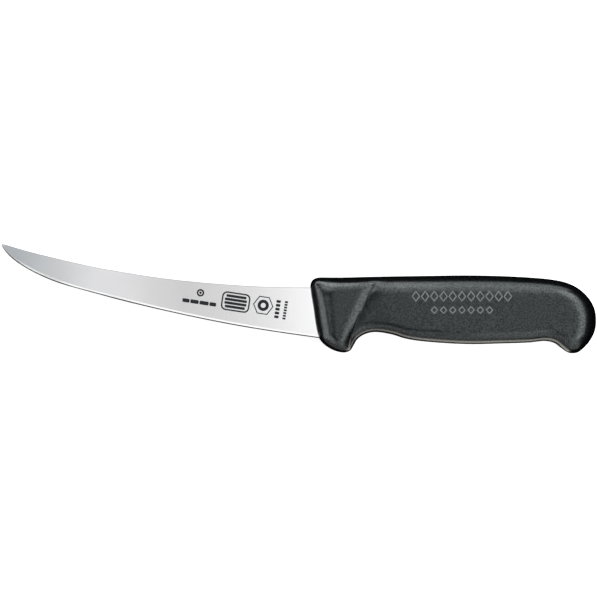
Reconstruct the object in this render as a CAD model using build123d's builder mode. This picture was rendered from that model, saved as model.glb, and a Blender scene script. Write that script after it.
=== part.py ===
"""Curved boning knife: a ground steel blade whose tang is moulded into a two-shot plastic handle.

The knife lies on its side. X runs from the tip to the butt, Y from the cutting edge to the spine, and Z up from the
surface that it lies on. The origin is the middle of the bounding box's bottom. Everything is in millimetres.
"""

import os
from typing import NamedTuple

from build123d import *

# Driving dimensions
HANDLE_HALF = 10.0  # half the handle's thickness, at the bolster and at the palm swell
BLADE_THICKNESS = 2.0  # at the heel's spine, and all along the tang
SPINE_CHAMFER = 0.25
EDGE_LAND = 0.06  # thickness left at the apex of the cutting edge
MICRO_BEVEL_HEIGHT = 0.5
MICRO_BEVEL_THICKNESS = 0.38
BEVEL_HEIGHT = 1.35  # from the apex to the shoulder, where the flat grind starts
BEVEL_THICKNESS = 0.54
TANG_HOLE_RADIUS = 2.5
SKIN = 3.2  # thickness of the outer moulding over the core
KEY_DEPTH = 1.0  # how deep the core's keying grooves are
KEY_WIDTH = 3.0
BOLSTER_END = 42.0  # how far its block runs back inside the grip, before the ridge cuts it off
BOLSTER_ROUNDING = 2.8

MID_PLANE = Plane.XY.offset(HANDLE_HALF)


class BladeStation(NamedTuple):
    """A cross-section of the blade, from a point on the cutting edge to one on the spine."""

    edge: tuple
    spine: tuple
    thickness: float  # at the spine


BLADE_STATIONS = [
    BladeStation((15.0, -19.7), (13.0, 4.9), BLADE_THICKNESS),
    BladeStation((2.5, -17.95), (0.5, 5.2), 1.98),
    BladeStation((-22.0, -14.3), (-20.0, 5.7), 1.9),
    BladeStation((-46.5, -9.7), (-43.2, 7.3), 1.8),
    BladeStation((-70.0, -4.5), (-66.0, 9.75), 1.68),
    BladeStation((-93.0, 1.3), (-88.9, 13.4), 1.54),
    BladeStation((-112.0, 6.6), (-108.0, 17.3), 1.38),
    BladeStation((-124.0, 11.35), (-121.0, 20.4), 1.22),
    BladeStation((-132.8, 16.3), (-130.8, 22.95), 1.0),
    BladeStation((-138.5, 20.95), (-137.5, 24.95), 0.7),
    BladeStation((-141.5, 25.3), (-141.4, 26.15), 0.34),
]

TANG_OUTLINE = [
    (13.5, 4.0),
    (20.0, 4.0),
    (30.0, 1.0),
    (98.0, -1.5),
    (98.0, -10.0),
    (30.0, -12.0),
    (20.0, -16.0),
    (14.5, -16.0),
]
TANG_CORNER_RADIUS = 3.0
TANG_HOLES = [(37.0, -5.3), (62.0, -5.4), (87.0, -5.6)]


class HandleStation(NamedTuple):
    """A cross-section of the handle's grip at one x."""

    x: float
    top: float
    bottom: float
    widest: float  # the y where the section is thickest
    half: float  # half its thickness there
    lower_fullness: float  # how boxy it is below the widest point: 0.55 is an ellipse, 1 a box


UPPER_FULLNESS = 0.86
GRIP_STATIONS = [
    HandleStation(15.0, 8.9, -21.0, 2.0, 8.6, 0.62),
    HandleStation(20.0, 9.4, -24.2, 2.0, 8.5, 0.62),
    HandleStation(24.4, 9.95, -24.7, 2.5, 8.2, 0.58),
    HandleStation(27.2, 10.05, -20.3, 3.5, 7.7, 0.55),
    HandleStation(30.5, 10.15, -17.6, 4.0, 7.5, 0.55),
    HandleStation(35.8, 10.25, -16.05, 3.0, 8.0, 0.58),
    HandleStation(44.4, 10.35, -17.2, 0.5, 8.9, 0.64),
    HandleStation(55.8, 10.55, -20.1, -2.5, 9.75, 0.74),
    HandleStation(68.0, 10.75, -21.2, -4.5, 9.96, 0.8),
    HandleStation(81.5, 10.85, -21.8, -5.5, 9.9, 0.8),
    HandleStation(95.8, 10.6, -21.5, -5.5, 9.5, 0.8),
    HandleStation(108.0, 9.95, -21.15, -5.5, 9.1, 0.78),
    HandleStation(116.5, 9.35, -20.35, -5.5, 8.9, 0.76),
    HandleStation(121.6, 8.7, -21.2, -6.0, 8.8, 0.74),
    HandleStation(126.1, 7.8, -24.6, -7.0, 8.6, 0.72),
    HandleStation(130.3, 6.2, -26.15, -8.5, 8.1, 0.7),
    HandleStation(134.8, 3.3, -24.2, -9.8, 6.9, 0.7),
    HandleStation(138.3, -0.4, -20.6, -10.3, 5.1, 0.7),
    HandleStation(140.5, -4.4, -16.4, -10.4, 3.0, 0.7),
    HandleStation(141.5, -8.4, -12.4, -10.4, 1.1, 0.7),
]
CORE_FRONT = HandleStation(16.0, 9.0, -17.0, 0.0, 8.6, 0.62)
CORE_STATIONS = [CORE_FRONT] + [station for station in GRIP_STATIONS if 30 < station.x < 128]
CORE_GROOVES = [48.0, 60.0, 72.0, 84.0, 96.0]

# The bolster's side outline, as corners with their rounding radii. It ends inside the grip, where the ridge cuts it
BOLSTER_CORNERS = [
    ((4.9, 9.9), 4.0),
    ((9.7, -19.2), 3.2),
    ((15.0, -25.8), 11.0),
    ((23.8, -25.8), 3.2),
    ((28.8, -17.2), 7.0),
    ((BOLSTER_END, -15.9), 3.2),
    ((BOLSTER_END, 9.9), 3.2),
]
# The curved step from the bolster's flat panel down to the finger groove
RIDGE = [(38.6, 8.4), (28.3, -8.5), (23.9, -26.5)]


def blade_plane(station):
    """The section's plane: local x from the edge to the spine, local y up."""
    up_the_blade = Vector(*station.spine) - Vector(*station.edge)
    return Plane(
        origin=(*station.edge, HANDLE_HALF),
        x_dir=up_the_blade,
        z_dir=up_the_blade.cross(Vector(0, 0, 1)),
    )


def blade_profile(station):
    """One side of the section, from the edge to the spine, as (height, half thickness)."""
    height = (Vector(*station.spine) - Vector(*station.edge)).length
    micro = min(MICRO_BEVEL_HEIGHT, 0.2 * height)
    shoulder = min(BEVEL_HEIGHT, 0.4 * height)
    thin = min(1, station.thickness)
    half = station.thickness / 2
    return [
        (0, EDGE_LAND / 2),
        (micro, thin * MICRO_BEVEL_THICKNESS / 2),
        (shoulder, thin * BEVEL_THICKNESS / 2),
        (height - SPINE_CHAMFER * half, half),
        (height, half * (1 - SPINE_CHAMFER)),
    ]


def grip_corner(station, inset, side, up):
    """A quarter of the grip's section as a cubic curve's points, from its top or bottom to its widest point."""
    end = station.top - inset if up else station.bottom + inset
    fullness = UPPER_FULLNESS if up else station.lower_fullness
    half = side * (station.half - inset)
    return [
        (end, 0),
        (end, fullness * half),
        (station.widest + fullness * (end - station.widest), half),
        (station.widest, half),
    ]


def grip_section(station, inset=0.0):
    """The grip's closed section in the plane across the handle, shrunk by inset."""
    with BuildSketch(Plane.YZ.offset(station.x).shift_origin((station.x, 0, HANDLE_HALF))) as section:
        with BuildLine():
            Bezier(*grip_corner(station, inset, 1, True))
            Bezier(*reversed(grip_corner(station, inset, 1, False)))
            Bezier(*grip_corner(station, inset, -1, False))
            Bezier(*reversed(grip_corner(station, inset, -1, True)))
        make_face()
    return section.sketch


os.makedirs("parts", exist_ok=True)

# Blade: the ground blade and its tang are one piece of steel
with BuildPart() as blade:
    for station in BLADE_STATIONS:
        profile = blade_profile(station)
        with BuildSketch(blade_plane(station)):
            with BuildLine():
                Polyline(*profile, *[(h, -t) for h, t in reversed(profile)], close=True)
            make_face()
    loft()
    with BuildSketch(MID_PLANE) as tang:
        with BuildLine():
            Polyline(*TANG_OUTLINE, close=True)
        make_face()
        fillet(tang.vertices().filter_by(lambda v: v.X > 25), radius=TANG_CORNER_RADIUS)
        with Locations(*TANG_HOLES):
            Circle(TANG_HOLE_RADIUS, mode=Mode.SUBTRACT)
    extrude(amount=BLADE_THICKNESS / 2, both=True)
blade.part.label = "blade"

# Handle core: the hard first shot, moulded round the tang and through its holes
with BuildPart() as handle_core:
    loft([grip_section(station, SKIN) for station in CORE_STATIONS])
    for x in CORE_GROOVES:
        with BuildSketch(Plane.YZ.offset(x)):
            with Locations((0, HANDLE_HALF)):
                Rectangle(80, 40)
                Rectangle(80, 2 * (HANDLE_HALF - SKIN - KEY_DEPTH), mode=Mode.SUBTRACT)
        extrude(amount=KEY_WIDTH / 2, both=True, mode=Mode.SUBTRACT)
    add(blade.part, mode=Mode.SUBTRACT)
handle_core.part.label = "handle_core"

# Bolster block, cut back to the ridge
with BuildPart() as bolster:
    with BuildSketch(MID_PLANE) as outline:
        with BuildLine():
            Polyline(*[point for point, radius in BOLSTER_CORNERS], close=True)
        make_face()
        for point, radius in BOLSTER_CORNERS:
            fillet(outline.vertices().sort_by_distance((*point, 0))[0], radius=radius)
    extrude(amount=HANDLE_HALF, both=True)
    fillet(bolster.faces().filter_by(Axis.Z).edges(), radius=BOLSTER_ROUNDING)
    with BuildSketch(MID_PLANE):
        with BuildLine():
            ThreePointArc(*RIDGE)
            Polyline(RIDGE[-1], (BOLSTER_END + 1, RIDGE[-1][1]), (BOLSTER_END + 1, 20), (RIDGE[0][0], 20), RIDGE[0])
        make_face()
    extrude(amount=HANDLE_HALF, both=True, mode=Mode.SUBTRACT)

# Handle grip: the outer shot, over the core and the heel of the blade
with BuildPart() as handle_grip:
    loft([grip_section(station) for station in GRIP_STATIONS])
    add(bolster.part)
    add(handle_core.part, mode=Mode.SUBTRACT)
    add(blade.part, mode=Mode.SUBTRACT)
handle_grip.part.label = "handle_grip"

for piece in (blade, handle_core, handle_grip):
    export_step(piece.part, f"parts/{piece.part.label}.step")
    box = piece.part.bounding_box()
    print(piece.part.label, "volume", round(piece.part.volume), "from", box.min, "to", box.max)
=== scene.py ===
"""How the curved boning knife looks: satin steel, a pebbled moulded handle, and a plain white studio.

The knife's own shapes are worked out in millimetres and the studio in metres, both in the CAD's row frame:
X runs from the tip to the butt, Y from the cutting edge to the spine, and Z up from the surface that the
knife lies on.
"""

import math
from typing import NamedTuple

import bmesh
import bpy
import numpy as np
import openvdb
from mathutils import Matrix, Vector
from mathutils.bvhtree import BVHTree


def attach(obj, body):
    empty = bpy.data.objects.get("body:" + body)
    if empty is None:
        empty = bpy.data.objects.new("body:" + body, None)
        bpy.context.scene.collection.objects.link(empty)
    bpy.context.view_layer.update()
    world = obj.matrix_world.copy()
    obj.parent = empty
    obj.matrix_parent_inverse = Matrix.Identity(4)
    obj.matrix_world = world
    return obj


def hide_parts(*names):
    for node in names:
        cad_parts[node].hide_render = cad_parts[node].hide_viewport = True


MM = 0.001
MID_Z = 10.0  # the blade's mid-plane, in mm above the floor

# The handle's outline as seen from the side, in mm, clockwise from the top of its front face
HANDLE_OUTLINE = [
    (5.7, 6.9), (7.1, 9.0), (9.4, 9.85), (12.0, 9.9), (20.0, 9.87), (36.0, 10.25),
    (58.0, 10.6), (81.0, 10.85), (98.0, 10.5), (112.0, 9.72), (120.0, 8.95), (126.1, 7.8),
    (130.6, 6.1), (134.9, 3.3), (138.7, -0.9), (140.9, -5.5), (141.5, -10.4), (140.95, -15.3),
    (138.7, -20.0), (135.2, -24.0), (132.8, -25.7), (130.3, -26.15), (127.8, -25.6), (125.0, -23.7),
    (121.5, -21.2), (117.3, -20.3), (110.0, -21.0), (96.0, -21.5), (81.5, -21.8), (68.0, -21.2),
    (55.8, -20.05), (50.0, -18.95), (44.4, -17.2), (36.0, -16.05), (31.2, -17.2), (27.9, -19.5),
    (26.1, -22.4), (24.6, -24.75), (21.9, -25.8), (17.6, -25.05), (13.4, -22.9), (10.3, -19.9),
    (8.95, -16.5), (7.05, -4.9),
]  # fmt: skip
OUTLINE_STEP = 0.3

# How the handle's sides round over into its faces: the rounding's depth in from the outline, in mm. A zone is
# where a depth applies, with soft borders: each is an axis, where the zone's weight is 0, and where it is 1
ROUNDING_TOP = 12.5
ROUNDING_BELOW = 7.5
ROUNDING_TURN = (-12, 2)  # all ROUNDING_BELOW under the first y, and all ROUNDING_TOP over the second
SHOULDER_ZONE = [("x", 106, 124), ("y", -12, 0)]
BUTT_ZONE = [("x", 126, 138), ("y", 2, -8), ("y", -24, -14)]
BOLSTER_ZONE = [("x", 46, 34)]
FRONT_ZONE = [("x", 20, 12), ("y", 10, 4), ("y", -22, -14)]  # the bolster's front
GROOVE_ZONE = [("x", 32, 38), ("x", 62, 50), ("y", -4, -10)]
ROUNDING_ZONES = [
    (SHOULDER_ZONE, 10.3),
    (BUTT_ZONE, 14.0),
    (BOLSTER_ZONE, 7.8),
    (FRONT_ZONE, 9.6),
    (GROOVE_ZONE, 6.2),
]
ROUNDING_TIPS = [((21.5, -25.5), 7.0), ((135.0, -25.0), 12.0)]  # the guard's tip and the hook's tip
TIP_REACH = (13, 3)  # from a tip: where its rounding stops, and where it is full
SIDE_POWER = 3.0  # the roundings' squareness: 2 is an ellipse
SIDE_POWER_FRONT = 2.15
FACE_POWER = 2.0

# The panel that the blade mirrors: its corners, and its brightness as (x, colour)
BLADE_PANEL_LOW = (-0.6, -0.17)
BLADE_PANEL_HIGH = (0.3, 0.3)
BLADE_PANEL_Z = 1.2
BLADE_PANEL_GLOW = [
    (-0.27, (0.49, 0.52, 0.54)),
    (-0.24, (0.57, 0.59, 0.6)),
    (-0.21, (1.06, 1.05, 1.05)),
    (-0.185, (1.12, 1.12, 1.12)),
    (-0.165, (0.91, 0.91, 0.92)),
    (-0.13, (0.58, 0.57, 0.57)),
    (-0.11, (0.58, 0.57, 0.575)),
    (-0.06, (0.84, 0.84, 0.84)),
    (-0.02, (0.92, 0.92, 0.92)),
    (0.01, (1.34, 1.34, 1.34)),
]

# The wall of soft light round the knife, for the blade seen from its sides. Its gap has only a low wall,
# because the handle's front mirrors the gap by way of the blade
RING_SIDES = 48
RING_RADIUS = 2.5
RING_LOW = -1.0  # below the floor, which the blade doesn't mirror
RING_HEIGHT = 2.3
RING_GAP = (155, 205)  # in degrees
RING_GAP_HEIGHT = 0.3
RING_GLOW = [(0, (0.42, 0.42, 0.43)), (0.7, (0.75, 0.75, 0.76)), (2.3, (0.9, 0.9, 0.9))]  # (z, colour)

WARM = (1, 0.95, 0.88)


class Softbox(NamedTuple):
    """A rectangular light: where it is, what it faces, its width and height, and how bright it is."""

    name: str
    place: tuple
    target: tuple
    size: tuple
    radiance: float
    colour: tuple = (1, 1, 1)


# The blade is a mirror, and the handle's lights would show a second time in it, so most lights reach only the
# blade or only the handle
BLADE_LIGHTS = [
    Softbox("blade_strip", (-0.15, -0.29, 1.15), (-0.15, -0.29, 0), (0.9, 0.24), 1.3),
    Softbox("blade_back_left", (-0.28, 0.55, 0.4), (-0.28, 0, 0.4), (0.62, 0.23), 4.9),
    Softbox("blade_back_right", (0.22, 0.55, 0.4), (0.22, 0, 0.4), (0.38, 0.23), 2.4),
]
HANDLE_LIGHTS = [
    Softbox("overhead", (0.245, -0.05, 1.15), (0.245, -0.05, 0), (0.71, 0.9), 1.0),
    Softbox("overhead_left", (0.01, -0.05, 1.1), (0.01, -0.05, 0), (0.24, 0.9), 0.25),
    Softbox("overhead_corner", (-0.155, -0.33, 1.15), (-0.155, -0.33, 0), (0.09, 0.26), 1.0),
    Softbox("left_near", (-0.205, -0.055, 1.15), (-0.205, -0.055, 0), (0.19, 0.07), 1.0),
    Softbox("left_fill", (-0.525, -0.04, 1.15), (-0.525, -0.04, 0), (0.45, 0.16), 1.5),
    Softbox("left_high", (-0.45, -0.05, 0.6), (-0.45, -0.05, 0), (0.3, 0.08), 2.2),
    Softbox("left_low", (-0.6, 0.05, 0.27), (0, 0.05, 0.27), (0.8, 0.36), 2.9),
    Softbox("left_back", (-0.33, 0.3, 0.45), (0.01, 0, 0), (0.3, 0.25), 2.3),
    Softbox("front_left", (-0.35, -0.42, 0.42), (0.02, -0.02, 0), (0.5, 0.3), 2.2),
    Softbox("front_high", (0.35, -0.44, 0.5), (0.35, 0, 0.1), (0.5, 0.38), 1.75),
    Softbox("front_low", (-0.29, -0.55, 0.15), (-0.29, 0, 0.15), (0.62, 0.26), 0.75),
    Softbox("front_low_right", (0.31, -0.55, 0.19), (0.31, 0, 0.19), (0.58, 0.34), 1.15),
    Softbox("hook_fill", (-0.015, -0.5, 0.45), (0.125, -0.02, 0), (0.1, 0.3), 1.6),
    Softbox("front_card", (-0.015, -0.14, 0), (-0.015, -0.14, 0.1), (0.27, 0.18), 0.6, WARM),
    Softbox("warm_card", (0.078, -0.041, 0), (0.078, -0.041, 0.1), (0.096, 0.018), 2.1, WARM),
    Softbox("back_left", (-0.28, 0.55, 0.3), (-0.28, 0, 0.3), (0.62, 0.43), 4.9),
    Softbox("back_right", (0.22, 0.55, 0.3), (0.22, 0, 0.3), (0.38, 0.43), 2.4),
]
SHARED_LIGHTS = [
    Softbox("back_high", (0.1, 0.4, 0.55), (0.1, 0.05, 0), (0.8, 0.36), 2.1),
    Softbox("right_high", (0.48, 0.1, 0.5), (0.07, 0.05, 0), (0.95, 0.34), 3.0),
]

FLOOR_RADIUS = 6
FLOOR_SIDES = 96
FLOOR_GREY = 0.9
STUDIO_GLOW = 0.94  # how bright the floor's own glow and the background are

SENSOR_WIDTH = 36
LENS = 190
VIEW_WIDTH = 0.28417  # how much of the blade's mid-plane the picture spans
CAMERA_OFFSET = (-0.0001, -0.0001)

# Half the handle's thickness along its length, as (x, mm)
THICKNESS = [(5, 9.1), (36, 9.1), (50, 9.45), (68, 9.9), (84, 9.85), (100, 9.5), (118, 9.2), (142, 9.0)]
BOLSTER_HALF = 10.0
NECK_DEPTH = 0.5  # how much thinner the neck is at the finger groove than at the spine
NECK_CENTRE = 30.0
NECK_LENGTH = 17.0
NECK_ZONE = [("y", 7, -9)]

# The ridge that parts the bolster's panel from the scoop behind it: an arc bulging towards the blade
RIDGE_CENTRE = (85.6, -33.2)
RIDGE_RADIUS = 62.9
RIDGE_ROLL = 7.5  # how far from the ridge the panel starts to roll down to it
RIDGE_DROPS = (1.9, 2.4)  # at the finger groove, and near the spine
RIDGE_TURN = (-3, 4)  # the first drop is under the first y, and the second over the second
STEP_LENGTH = 0.6  # the steep step behind the ridge
STEP_POWER = 0.6
VALLEY_SLOPE = 0.38  # of the grip's face at the foot of the step
VALLEY_LENGTHS = (2.7, 3.3)  # how fast it levels out, near the spine and at the finger groove
VALLEY_TURN = (-2, -13)  # the first length is over the first y, and the second under the second
VALLEY_ZONE = [("y", 10, 4)]

# Rows of raised diamonds on the grip: how many, their width and height, and the row's y
PIP_ROWS = [(11, 3.5, 4.6, 0.9), (7, 3.0, 3.2, -5.6)]
PIP_PITCH = 4.35
PIPS_X = 77.2
PIP_STEP = 0.5  # between the points along a diamond's sides
# Bead profiles, as (outward, height)
PIP_SECTION = [(-0.38, -0.1), (-0.24, 0.14), (-0.1, 0.2), (0.1, 0.2), (0.24, 0.14), (0.38, -0.1)]
PARTING_SECTION = [(-0.1, -0.16), (0.05, -0.07), (0.05, 0.07), (-0.1, 0.16)]
# Blank printed marks on the blade, in mm from MARK_ORIGIN along and across a line that slopes with the blade
MARK_ORIGIN = (-30.0, -1.8)
MARK_TILT = -8.5
MARK_GAP = 0.02
BARS = [(-23.5, 3.4), (-19.4, 4.0), (-14.8, 4.4), (-10.6, 3.2)]  # (x, width)
BAR_Y = -2.7
BAR_HEIGHT = 1.8
BAR_CORNER = 0.25  # its rounding, as a share of the bar's smaller side
DOT = (-17.2, 1.9)
DOT_RING_RADII = (1.8, 1.0)
DOT_RADIUS = 0.6
DOT_SIDES = 16
ROUND_SIDES = 24
PLATE_OUTSIDE = (13.6, 9.0, 2.4)  # width, height, corner radius
PLATE_INSIDE = (12.2, 7.6, 1.8)
PLATE_STRIPES = [(2.55, 9.6), (0.85, 10.6), (-0.85, 10.6), (-2.55, 9.6)]  # (y, width)
STRIPE_HEIGHT = 1.25
NUT = (13.2, 0.4)
NUT_RADII = (4.9, 4.35)
NUT_HOLE_RADII = (2.7, 1.2)
LADDERS = [(20.2, 2.1, 5), (23.9, 1.5, 7)]  # (x, width, steps)
LADDER_TOP = 4.2
LADDER_LENGTH = 9.2
LADDER_SHARE = 0.7  # how much of its pitch each step fills

GRIND_TURN = 9  # in degrees, of the blade's grinding lines
GRIND_STRETCH = (1, 0.012, 0.012)  # of the noise that draws them: along, across and through the blade

FIELD_STEP = 0.2
FIELD_LOW = (2.0, -30.0)
FIELD_HIGH = (145.0, 15.0)
CREASE_BLUR = 1.5
CREASE_DEPTHS = (1, 5)  # in from the outline: where the blur starts, and where it is full
VOXEL = 0.37
MESH_LOW = (4.0, -28.0, -11.5)
MESH_HIGH = (143.0, 12.5, 11.5)
NEWTON_STEPS = 5


def smoothstep(low, high, value):
    t = np.clip((value - low) / (high - low), 0, 1)
    return t * t * (3 - 2 * t)


def closed_curve(points, step):
    """A centripetal Catmull-Rom curve through the points, sampled about every step."""
    points = np.array(points, float)
    count = len(points)
    sampled = []
    for i in range(count):
        a, b, c, d = (points[(i + k - 1) % count] for k in range(4))
        knots = np.cumsum([0, *(np.linalg.norm(q - p) ** 0.5 for p, q in ((a, b), (b, c), (c, d)))])
        steps = max(2, round(np.linalg.norm(c - b) / step))
        t = np.linspace(knots[1], knots[2], steps, endpoint=False)[:, None]

        def mix(p, q, i, j):
            return p * (knots[j] - t) / (knots[j] - knots[i]) + q * (t - knots[i]) / (knots[j] - knots[i])

        ab, bc, cd = mix(a, b, 0, 1), mix(b, c, 1, 2), mix(c, d, 2, 3)
        sampled.append(mix(mix(ab, bc, 0, 2), mix(bc, cd, 1, 3), 1, 2))
    return np.concatenate(sampled)


def depth_inside(points, outline):
    """How far each point is inside the closed outline, negative outside it."""
    start, end = outline, np.roll(outline, -1, axis=0)
    along = end - start
    length2 = (along**2).sum(1)
    depth = np.empty(len(points))
    for block in np.array_split(np.arange(len(points)), max(1, len(points) // 4000)):
        offset = points[block, None] - start
        t = np.clip((offset * along).sum(2) / length2, 0, 1)
        distance = np.sqrt(((offset - t[..., None] * along) ** 2).sum(2).min(1))
        above = (start[:, 1] > points[block, None, 1]) != (end[:, 1] > points[block, None, 1])
        rise = np.where(along[:, 1] == 0, 1, along[:, 1])
        crossing = start[:, 0] + (points[block, None, 1] - start[:, 1]) / rise * along[:, 0]
        inside = (above & (points[block, None, 0] < crossing)).sum(1) % 2 == 1
        depth[block] = np.where(inside, distance, -distance)
    return depth


def zone_weight(zone, x, y):
    """1 inside the zone and 0 outside it, with soft borders."""
    weight = 1.0
    for axis, outside, inside in zone:
        weight = weight * smoothstep(outside, inside, x if axis == "x" else y)
    return weight


def rounding_at(x, y):
    """The depth of the rounding next to each point."""
    depth = ROUNDING_BELOW + (ROUNDING_TOP - ROUNDING_BELOW) * smoothstep(*ROUNDING_TURN, y)
    for zone, rounding in ROUNDING_ZONES:
        depth = depth + (rounding - depth) * zone_weight(zone, x, y)
    for tip, rounding in ROUNDING_TIPS:
        away = np.hypot(x - tip[0], y - tip[1])
        depth = depth + (rounding - depth) * smoothstep(*TIP_REACH, away)
    return depth


def half_thickness_at(x, y):
    """Half the handle's thickness at each point, without the rounding of its sides."""
    along, half = zip(*THICKNESS)
    neck = np.exp(-(((x - NECK_CENTRE) / NECK_LENGTH) ** 2)) * zone_weight(NECK_ZONE, x, y)
    grip = np.interp(x, along, half) - NECK_DEPTH * neck
    behind = RIDGE_RADIUS - np.hypot(x - RIDGE_CENTRE[0], y - RIDGE_CENTRE[1])
    behind = np.where(x > RIDGE_CENTRE[0], RIDGE_RADIUS, behind)
    length = VALLEY_LENGTHS[0] + (VALLEY_LENGTHS[1] - VALLEY_LENGTHS[0]) * smoothstep(*VALLEY_TURN, y)
    valley = VALLEY_SLOPE * length * np.exp(-np.clip(behind, 0, None) / length)
    valley = valley * zone_weight(VALLEY_ZONE, x, y)
    drop = RIDGE_DROPS[0] + (RIDGE_DROPS[1] - RIDGE_DROPS[0]) * smoothstep(*RIDGE_TURN, y)
    panel = BOLSTER_HALF - drop * np.clip(1 + behind / RIDGE_ROLL, 0, 1) ** 2
    step = np.clip(1 - behind / STEP_LENGTH, 0, 1) ** STEP_POWER
    return grip - valley + np.maximum(panel - grip + valley, 0) * step


class HandleShape:
    """The handle as a smooth implicit surface: two fields hold its rounding and its half thickness."""

    def __init__(self):
        outline = closed_curve(HANDLE_OUTLINE, OUTLINE_STEP)
        self.low = np.array(FIELD_LOW)
        self.count = np.round((np.array(FIELD_HIGH) - self.low) / FIELD_STEP).astype(int) + 1
        axes = [self.low[k] + FIELD_STEP * np.arange(self.count[k]) for k in range(2)]
        x, y = (a.ravel() for a in np.meshgrid(*axes, indexing="ij"))
        depth = depth_inside(np.stack([x, y], 1), outline)
        blend = smoothstep(*CREASE_DEPTHS, depth)
        depth += (self.blurred(depth) - depth) * blend
        power = SIDE_POWER + (SIDE_POWER_FRONT - SIDE_POWER) * zone_weight(FRONT_ZONE, x, y)
        rounding = np.clip(1 - depth / rounding_at(x, y), 0, None) ** power
        rounding += (self.blurred(rounding) - rounding) * blend
        self.fields = np.stack([rounding, half_thickness_at(x, y)], 1).reshape(*self.count, 2)

    def blurred(self, values):
        """The field with the creases along its middle smoothed out."""
        reach = np.arange(-3 * CREASE_BLUR, 3.01 * CREASE_BLUR, FIELD_STEP)
        weights = np.exp(-0.5 * (reach / CREASE_BLUR) ** 2)
        weights /= weights.sum()
        field = values.reshape(self.count)
        for axis in (0, 1):
            field = np.apply_along_axis(np.convolve, axis, field, weights, mode="same")
        return field.ravel()

    def look_up(self, points):
        """The fields and their slopes at each point, by a cubic in each direction."""
        place = (points - self.low) / FIELD_STEP
        cell = np.clip(np.floor(place).astype(int), 1, self.count - 3)
        t = place - cell
        weights, slopes = zip(*(cubic_weights(t[:, k]) for k in range(2)))
        value, along_x, along_y = (np.zeros((len(points), 2)) for _ in range(3))
        for i in range(4):
            for j in range(4):
                field = self.fields[cell[:, 0] + i - 1, cell[:, 1] + j - 1]
                value += (weights[0][i] * weights[1][j])[:, None] * field
                along_x += (slopes[0][i] * weights[1][j])[:, None] * field
                along_y += (weights[0][i] * slopes[1][j])[:, None] * field
        return value, along_x / FIELD_STEP, along_y / FIELD_STEP

    def half_at(self, points):
        """The height of the surface over the mid-plane at each point."""
        value, _, _ = self.look_up(points)
        return value[:, 1] * (1 - np.clip(value[:, 0], 0, 1)) ** (1 / FACE_POWER)

    def level(self, rounding, half, z):
        """Zero on the surface, negative inside."""
        return rounding + (np.abs(z) / half) ** FACE_POWER - 1

    def level_and_slope(self, points):
        value, along_x, along_y = self.look_up(points[:, :2])
        rounding, half, z = value[:, 0], value[:, 1], points[:, 2]
        by_half = -FACE_POWER * (np.abs(z) / half) ** FACE_POWER / half
        slope = np.stack(
            [
                along_x[:, 0] + by_half * along_x[:, 1],
                along_y[:, 0] + by_half * along_y[:, 1],
                FACE_POWER * np.sign(z) * np.abs(z) ** (FACE_POWER - 1) / half**FACE_POWER,
            ],
            1,
        )
        return self.level(rounding, half, z), slope


def cubic_weights(t):
    """Catmull-Rom weights of the four neighbours at t between the middle two, and the weights' slopes."""
    weights = [
        -0.5 * t + t**2 - 0.5 * t**3,
        1 - 2.5 * t**2 + 1.5 * t**3,
        0.5 * t + 2 * t**2 - 1.5 * t**3,
        -0.5 * t**2 + 0.5 * t**3,
    ]
    slopes = [
        -0.5 + 2 * t - 1.5 * t**2,
        -5 * t + 4.5 * t**2,
        0.5 + 4 * t - 4.5 * t**2,
        -t + 1.5 * t**2,
    ]
    return weights, slopes


def build_handle(shape):
    """The moulded handle as one fine mesh on the implicit surface, with the surface's own normals."""
    low = np.array(MESH_LOW)
    count = np.ceil((np.array(MESH_HIGH) - low) / VOXEL).astype(int)
    axes = [low[k] + VOXEL * np.arange(count[k]) for k in range(3)]
    x, y = (a.ravel() for a in np.meshgrid(axes[0], axes[1], indexing="ij"))
    value, _, _ = shape.look_up(np.stack([x, y], 1))
    level = shape.level(value[:, :1], value[:, 1:], axes[2][None, :]).reshape(count)
    grid = openvdb.FloatGrid()
    grid.copyFromArray(np.clip(level, -1, 1).astype(np.float32))
    corners, quads = grid.convertToQuads(isovalue=0)
    points = low + VOXEL * corners.astype(float)
    for _ in range(NEWTON_STEPS):
        value, slope = shape.level_and_slope(points)
        points -= np.clip((value / (slope**2).sum(1))[:, None] * slope, -VOXEL, VOXEL)
    _, slope = shape.level_and_slope(points)
    normals = slope / np.linalg.norm(slope, axis=1)[:, None]

    mesh = bpy.data.meshes.new("grip_moulding")
    mesh.from_pydata(((points + (0, 0, MID_Z)) * MM).tolist(), [], quads[:, ::-1].tolist())
    mesh.update()
    if Vector(mesh.polygons[0].normal).dot(Vector(normals[mesh.polygons[0].vertices[0]])) < 0:
        mesh.flip_normals()
    mesh.normals_split_custom_set_from_vertices(normals.tolist())
    handle = bpy.data.objects.new("grip_moulding", mesh)
    bpy.context.collection.objects.link(handle)
    return handle


def link_mesh(name, points, faces, smooth=True):
    """A new object from points in mm and faces."""
    mesh = bpy.data.meshes.new(name)
    mesh.from_pydata((np.asarray(points) * MM).tolist(), [], [list(map(int, face)) for face in faces])
    mesh.update()
    mesh.shade_smooth() if smooth else mesh.shade_flat()
    made = bpy.data.objects.new(name, mesh)
    bpy.context.collection.objects.link(made)
    return made


def rounded_rectangle(width, height, radius, arc_steps=8):
    """Its outline about the origin, anticlockwise."""
    turn = np.linspace(0, math.pi / 2, arc_steps)
    corners = []
    for quarter, (sx, sy) in enumerate(((1, 1), (-1, 1), (-1, -1), (1, -1))):
        angle = turn + quarter * math.pi / 2
        middle = np.array([sx * (width / 2 - radius), sy * (height / 2 - radius)])
        corners.append(middle + radius * np.stack([np.cos(angle), np.sin(angle)], 1))
    return np.concatenate(corners)


def regular_outline(sides, radius):
    angle = 2 * math.pi * np.arange(sides) / sides
    return radius * np.stack([np.cos(angle), np.sin(angle)], 1)


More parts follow.
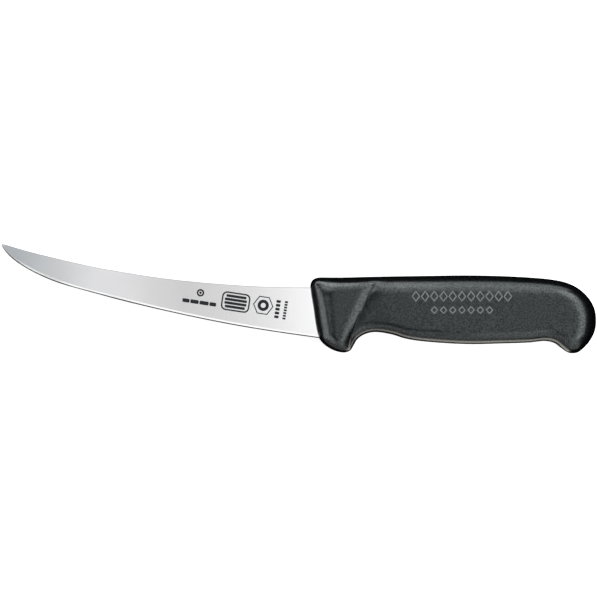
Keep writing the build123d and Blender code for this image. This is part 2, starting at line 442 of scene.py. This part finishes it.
def placed(outline, centre, tilt):
    """An outline turned by tilt degrees and moved to its centre."""
    c, s = math.cos(math.radians(tilt)), math.sin(math.radians(tilt))
    return outline @ np.array([[c, s], [-s, c]]) + centre


def subdivided(outline, step):
    """The closed outline with points added wherever two are further apart than step."""
    pieces = []
    for start, end in zip(outline, np.roll(outline, -1, axis=0)):
        count = math.ceil(np.linalg.norm(end - start) / step)
        pieces.append(start + np.arange(count)[:, None] / count * (end - start))
    return np.concatenate(pieces)


def bead_along(path, section, height_at):
    """A bead round a closed anticlockwise path, as points and faces.

    section is its profile from the inside out, as (outward from the path, height over height_at).
    """
    forward = np.roll(path, -1, axis=0) - np.roll(path, 1, axis=0)
    outward = np.stack([forward[:, 1], -forward[:, 0]], 1) / np.linalg.norm(forward, axis=1)[:, None]
    rows = []
    for offset, rise in section:
        place = path + offset * outward
        rows.append(np.column_stack([place, height_at(place) + rise]))
    count, width = len(path), len(section)
    faces = []
    for i in range(count):
        for j in range(width - 1):
            near, far = i * width + j, (i + 1) % count * width + j
            faces.append((near, near + 1, far + 1, far))
    return np.stack(rows, 1).reshape(-1, 3), faces


def build_pips(shape):
    """Rows of raised diamonds on both sides of the grip, where a maker's lettering would be."""
    points, faces = np.empty((0, 3)), []
    for count, width, height, y in PIP_ROWS:
        corners = np.array([(width / 2, 0), (0, height / 2), (-width / 2, 0), (0, -height / 2)])
        for k in range(count):
            centre = (PIPS_X + (k - (count - 1) / 2) * PIP_PITCH, y)
            pip, pip_faces = bead_along(subdivided(corners, PIP_STEP) + centre, PIP_SECTION, shape.half_at)
            for side in (1, -1):
                faces += [tuple(len(points) + i for i in face[::side]) for face in pip_faces]
                points = np.concatenate([points, pip * (1, 1, side) + (0, 0, MID_Z)])
    return link_mesh("grip_pips", points, faces)


def build_parting_line():
    """The fine witness line that the mould's two halves leave round the handle."""
    path = closed_curve(HANDLE_OUTLINE, 2 * OUTLINE_STEP)[::-1]
    points, faces = bead_along(path, PARTING_SECTION, lambda place: np.full(len(place), MID_Z))
    return link_mesh("parting_line", points, faces)


def build_marks(blade_node):
    """Blank printed marks along the blade's slope: plain bars, a dot, a plate, a nut and two ladders."""
    mesh = blade_node.data
    tree = BVHTree.FromPolygons([v.co for v in mesh.vertices], [p.vertices for p in mesh.polygons])
    points, faces = [], []

    def on_blade(outline):
        """The outline's corners, added a little above the blade's face."""
        first = len(points)
        for x, y in outline:
            hit = tree.ray_cast(Vector((x, y, 100)) * MM, Vector((0, 0, -1)))[0]
            points.append((x, y, hit.z / MM + MARK_GAP))
        return range(first, len(points))

    def laid(outline, x, y):
        return placed(placed(outline, (x, y), 0), MARK_ORIGIN, MARK_TILT)

    def fill(outline, x, y):
        faces.append(on_blade(laid(outline, x, y)))

    def ring(outer, inner, x, y):
        outside, inside = on_blade(laid(outer, x, y)), on_blade(laid(inner, x, y))
        for i in range(len(outer)):
            faces.append((outside[i - 1], outside[i], inside[i], inside[i - 1]))

    def bar(width, height, x, y):
        fill(rounded_rectangle(width, height, BAR_CORNER * min(width, height), 4), x, y)

    def round_ring(radii, x, y):
        ring(*(regular_outline(ROUND_SIDES, radius) for radius in radii), x, y)

    for x, width in BARS:
        bar(width, BAR_HEIGHT, x, BAR_Y)
    round_ring(DOT_RING_RADII, *DOT)
    fill(regular_outline(DOT_SIDES, DOT_RADIUS), *DOT)
    ring(rounded_rectangle(*PLATE_OUTSIDE), rounded_rectangle(*PLATE_INSIDE), 0, 0)
    for y, width in PLATE_STRIPES:
        bar(width, STRIPE_HEIGHT, 0, y)
    ring(*(regular_outline(6, radius) for radius in NUT_RADII), *NUT)
    round_ring(NUT_HOLE_RADII, *NUT)
    for x, width, steps in LADDERS:
        pitch = LADDER_LENGTH / steps
        for k in range(steps):
            bar(width, LADDER_SHARE * pitch, x, LADDER_TOP - (k + 0.5) * pitch)
    return link_mesh("blade_marks", points, faces, smooth=False)


def new_material(name):
    """A node material, its node tree, and its Principled shader."""
    material = bpy.data.materials.new(name)
    material.use_nodes = True
    return material, material.node_tree, material.node_tree.nodes["Principled BSDF"]


def noise(tree, vector, scale, detail=2.0, roughness=0.5):
    node = tree.nodes.new("ShaderNodeTexNoise")
    node.inputs["Scale"].default_value = scale
    node.inputs["Detail"].default_value = detail
    node.inputs["Roughness"].default_value = roughness
    tree.links.new(vector, node.inputs["Vector"])
    return node.outputs["Fac"]


def spread(tree, value, low, high, value_low=0.0, value_high=1.0):
    """value from value_low to value_high, spread over low to high."""
    node = tree.nodes.new("ShaderNodeMapRange")
    node.inputs["From Min"].default_value = value_low
    node.inputs["From Max"].default_value = value_high
    node.inputs["To Min"].default_value = low
    node.inputs["To Max"].default_value = high
    tree.links.new(value, node.inputs["Value"])
    return node.outputs["Result"]


def blend_colours(tree, value, first, second):
    node = tree.nodes.new("ShaderNodeMix")
    node.data_type = "RGBA"
    node.inputs["A"].default_value = (*first, 1)
    node.inputs["B"].default_value = (*second, 1)
    tree.links.new(value, node.inputs["Factor"])
    return node.outputs["Result"]


def add_bump(tree, shader, height, distance):
    node = tree.nodes.new("ShaderNodeBump")
    node.inputs["Strength"].default_value = 1.0
    node.inputs["Distance"].default_value = distance
    tree.links.new(height, node.inputs["Height"])
    tree.links.new(node.outputs["Normal"], shader.inputs["Normal"])


def grip_material():
    """Black moulded plastic with a fine pebbled grain, a little uneven in colour and gloss, and with painted
    shade that dims its reflection in the grain's pits.
    """
    material, tree, shader = new_material("pebbled_black_plastic")
    place = tree.nodes.new("ShaderNodeTexCoord").outputs["Object"]
    grain = noise(tree, place, scale=1500, detail=2)
    pebbles = spread(tree, grain, low=0, high=1, value_low=0.41, value_high=0.59)
    cloud = noise(tree, place, scale=120, detail=3)
    shade = blend_colours(tree, pebbles, (0.0004, 0.0006, 0.0006), (0.0026, 0.0034, 0.0036))
    tree.links.new(shade, shader.inputs["Base Color"])
    # Painted shade: the reflection's tint is darker in the grain's low pits and full on its tops, standing in
    # for shadow in the pits
    painted_pit_shade = blend_colours(tree, pebbles, (0.46, 0.51, 0.52), (0.91, 0.99, 1.0))
    tree.links.new(painted_pit_shade, shader.inputs["Specular Tint"])
    tree.links.new(spread(tree, cloud, low=0.22, high=0.27), shader.inputs["Roughness"])
    add_bump(tree, shader, pebbles, distance=0.00001)
    shader.inputs["IOR"].default_value = 1.66
    return material


def rubbed_material():
    """The raised diamonds: the same plastic, rubbed a little paler and smoother."""
    material, tree, shader = new_material("rubbed_plastic")
    place = tree.nodes.new("ShaderNodeTexCoord").outputs["Object"]
    rub = noise(tree, place, scale=900, detail=3)
    shade = blend_colours(tree, rub, (0.05, 0.056, 0.057), (0.12, 0.13, 0.13))
    tree.links.new(shade, shader.inputs["Base Color"])
    tree.links.new(spread(tree, rub, low=0.4, high=0.55), shader.inputs["Roughness"])
    return material


def steel_material():
    """Satin stainless steel with fine grinding lines across the blade."""
    material, tree, shader = new_material("satin_steel")
    place = tree.nodes.new("ShaderNodeTexCoord").outputs["Object"]
    stretch = tree.nodes.new("ShaderNodeMapping")
    stretch.inputs["Rotation"].default_value = (0, 0, math.radians(GRIND_TURN))
    stretch.inputs["Scale"].default_value = GRIND_STRETCH
    tree.links.new(place, stretch.inputs["Vector"])
    lines = noise(tree, stretch.outputs["Vector"], scale=5200, detail=3, roughness=0.65)
    cloud = noise(tree, place, scale=60, detail=2)
    shade = blend_colours(tree, lines, (0.79, 0.79, 0.8), (0.86, 0.86, 0.865))
    tree.links.new(shade, shader.inputs["Base Color"])
    tree.links.new(spread(tree, cloud, low=0.12, high=0.16), shader.inputs["Roughness"])
    add_bump(tree, shader, lines, distance=0.000002)
    shader.inputs["Metallic"].default_value = 1
    return material


def ink_material():
    """Flat dark ink, slightly worn through."""
    material, tree, shader = new_material("dark_ink")
    place = tree.nodes.new("ShaderNodeTexCoord").outputs["Object"]
    wear = noise(tree, place, scale=2500, detail=3)
    shade = blend_colours(tree, wear, (0.004, 0.005, 0.006), (0.03, 0.032, 0.035))
    tree.links.new(shade, shader.inputs["Base Color"])
    shader.inputs["Roughness"].default_value = 0.7
    shader.inputs["Specular IOR Level"].default_value = 0.12
    return material


def add_softbox(box, receivers):
    """A light that the camera doesn't see. It reaches the receivers, or everything when they are None."""
    data = bpy.data.lights.new(box.name, "AREA")
    data.shape = "RECTANGLE"
    data.size, data.size_y = box.size
    data.energy = box.radiance * math.pi * box.size[0] * box.size[1]
    data.color = box.colour
    light = bpy.data.objects.new(box.name, data)
    light.location = box.place
    facing = Vector(box.target) - Vector(box.place)
    light.rotation_euler = facing.to_track_quat("-Z", "Y").to_euler()
    light.visible_camera = False
    light.light_linking.receiver_collection = receivers
    bpy.context.collection.objects.link(light)


def glow_material(name, axis, low, high, stops):
    """A glow that changes along an axis from low to high, by its stops (coordinate, colour)."""
    material, tree, shader = new_material(name)
    tree.nodes.remove(shader)
    place = tree.nodes.new("ShaderNodeTexCoord").outputs["Object"]
    split = tree.nodes.new("ShaderNodeSeparateXYZ")
    tree.links.new(place, split.inputs["Vector"])
    ramp = tree.nodes.new("ShaderNodeValToRGB")
    share = spread(tree, split.outputs[axis], low=0, high=1, value_low=low, value_high=high)
    tree.links.new(share, ramp.inputs["Fac"])
    steps = ramp.color_ramp.elements
    while len(steps) < len(stops):
        steps.new(1)
    for step, (coordinate, colour) in zip(steps, stops):
        step.position = (coordinate - low) / (high - low)
        step.color = (*colour, 1)
    glow = tree.nodes.new("ShaderNodeEmission")
    tree.links.new(ramp.outputs["Color"], glow.inputs["Color"])
    tree.links.new(glow.outputs["Emission"], tree.nodes["Material Output"].inputs["Surface"])
    return material


def glowing_panel(name, points, faces, material, receivers):
    """A mesh in metres that lights its receivers and that the camera doesn't see."""
    mesh = bpy.data.meshes.new(name)
    mesh.from_pydata(points, [], faces)
    mesh.materials.append(material)
    panel = bpy.data.objects.new(name, mesh)
    panel.visible_camera = False
    panel.light_linking.receiver_collection = receivers
    bpy.context.collection.objects.link(panel)


def build_blade_panels(receivers):
    """What the blade mirrors: a graded panel over the knife, and a wall of soft light round it."""
    (x0, y0), (x1, y1) = BLADE_PANEL_LOW, BLADE_PANEL_HIGH
    corners = [(x, y, BLADE_PANEL_Z) for x, y in ((x0, y0), (x1, y0), (x1, y1), (x0, y1))]
    overhead_glow = glow_material("blade_panel_glow", "X", x0, x1, BLADE_PANEL_GLOW)
    glowing_panel("blade_panel", corners, [(0, 1, 2, 3)], overhead_glow, receivers)

    circle = regular_outline(RING_SIDES, RING_RADIUS)
    points = [(x, y, z) for z in (RING_LOW, RING_GAP_HEIGHT, RING_HEIGHT) for x, y in circle]
    faces = []
    for i in range(RING_SIDES):
        wall = np.array([i, (i + 1) % RING_SIDES, (i + 1) % RING_SIDES + RING_SIDES, i + RING_SIDES])
        faces.append(wall.tolist())
        if not RING_GAP[0] < (i + 0.5) * 360 / RING_SIDES < RING_GAP[1]:
            faces.append((wall + RING_SIDES).tolist())
    ring_glow = glow_material("blade_ring_glow", "Z", RING_LOW, RING_HEIGHT, RING_GLOW)
    glowing_panel("blade_ring", points, faces, ring_glow, receivers)


def build_surround():
    """A white floor and world that only the camera sees."""
    mesh = bpy.data.meshes.new("floor")
    bm = bmesh.new()
    bmesh.ops.create_circle(bm, cap_ends=True, segments=FLOOR_SIDES, radius=FLOOR_RADIUS)
    bm.to_mesh(mesh)
    bm.free()
    floor = bpy.data.objects.new("floor", mesh)
    bpy.context.collection.objects.link(floor)
    material, tree, shader = new_material("white_floor")
    shader.inputs["Base Color"].default_value = (FLOOR_GREY, FLOOR_GREY, FLOOR_GREY, 1)
    shader.inputs["Emission Color"].default_value = (1, 1, 1, 1)
    shader.inputs["Emission Strength"].default_value = STUDIO_GLOW
    mesh.materials.append(material)
    floor.visible_diffuse = floor.visible_glossy = False

    world = bpy.data.worlds.new("world")
    bpy.context.scene.world = world
    world.use_nodes = True
    background = world.node_tree.nodes["Background"]
    background.inputs["Color"].default_value = (STUDIO_GLOW, STUDIO_GLOW, STUDIO_GLOW, 1)
    world.cycles_visibility.diffuse = world.cycles_visibility.glossy = False
    bpy.context.scene.view_settings.view_transform = "Standard"


def receivers_of(name, *pieces):
    """A collection of the pieces that a light reaches."""
    collection = bpy.data.collections.new(name)
    for piece in pieces:
        collection.objects.link(piece)
    return collection


def build_lights(blade_pieces, handle_pieces):
    """The blade's panels, and each list of lights with the pieces that it reaches."""
    build_blade_panels(blade_pieces)
    for lights, receivers in (
        (BLADE_LIGHTS, blade_pieces),
        (HANDLE_LIGHTS, handle_pieces),
        (SHARED_LIGHTS, None),
    ):
        for box in lights:
            add_softbox(box, receivers)


def build_camera():
    data = bpy.data.cameras.new("camera")
    data.sensor_width = SENSOR_WIDTH
    data.lens = LENS
    camera = bpy.data.objects.new("camera", data)
    camera.location = (*CAMERA_OFFSET, MID_Z * MM + VIEW_WIDTH * LENS / SENSOR_WIDTH)
    bpy.context.collection.objects.link(camera)
    bpy.context.scene.camera = camera


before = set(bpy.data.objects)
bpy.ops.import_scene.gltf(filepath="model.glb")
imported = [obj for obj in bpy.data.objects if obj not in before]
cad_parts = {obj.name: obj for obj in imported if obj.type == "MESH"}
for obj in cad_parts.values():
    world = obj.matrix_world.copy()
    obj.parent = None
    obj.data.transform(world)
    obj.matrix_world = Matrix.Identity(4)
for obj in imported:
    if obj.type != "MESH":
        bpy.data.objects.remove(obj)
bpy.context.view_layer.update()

shape = HandleShape()
plastic = grip_material()
handle = build_handle(shape)
handle.data.materials.append(plastic)
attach(handle, "root")
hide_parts("handle_grip")

parting_line = build_parting_line()
parting_line.data.materials.append(plastic)
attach(parting_line, "root")

pips = build_pips(shape)
pips.data.materials.append(rubbed_material())
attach(pips, "root")

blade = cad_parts["blade"]
blade.material_slots[0].material = steel_material()
marks = build_marks(blade)
marks.data.materials.append(ink_material())
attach(marks, "root")

build_surround()
build_lights(
    receivers_of("blade_pieces", blade, marks),
    receivers_of("handle_pieces", handle, parting_line, pips),
)
build_camera()
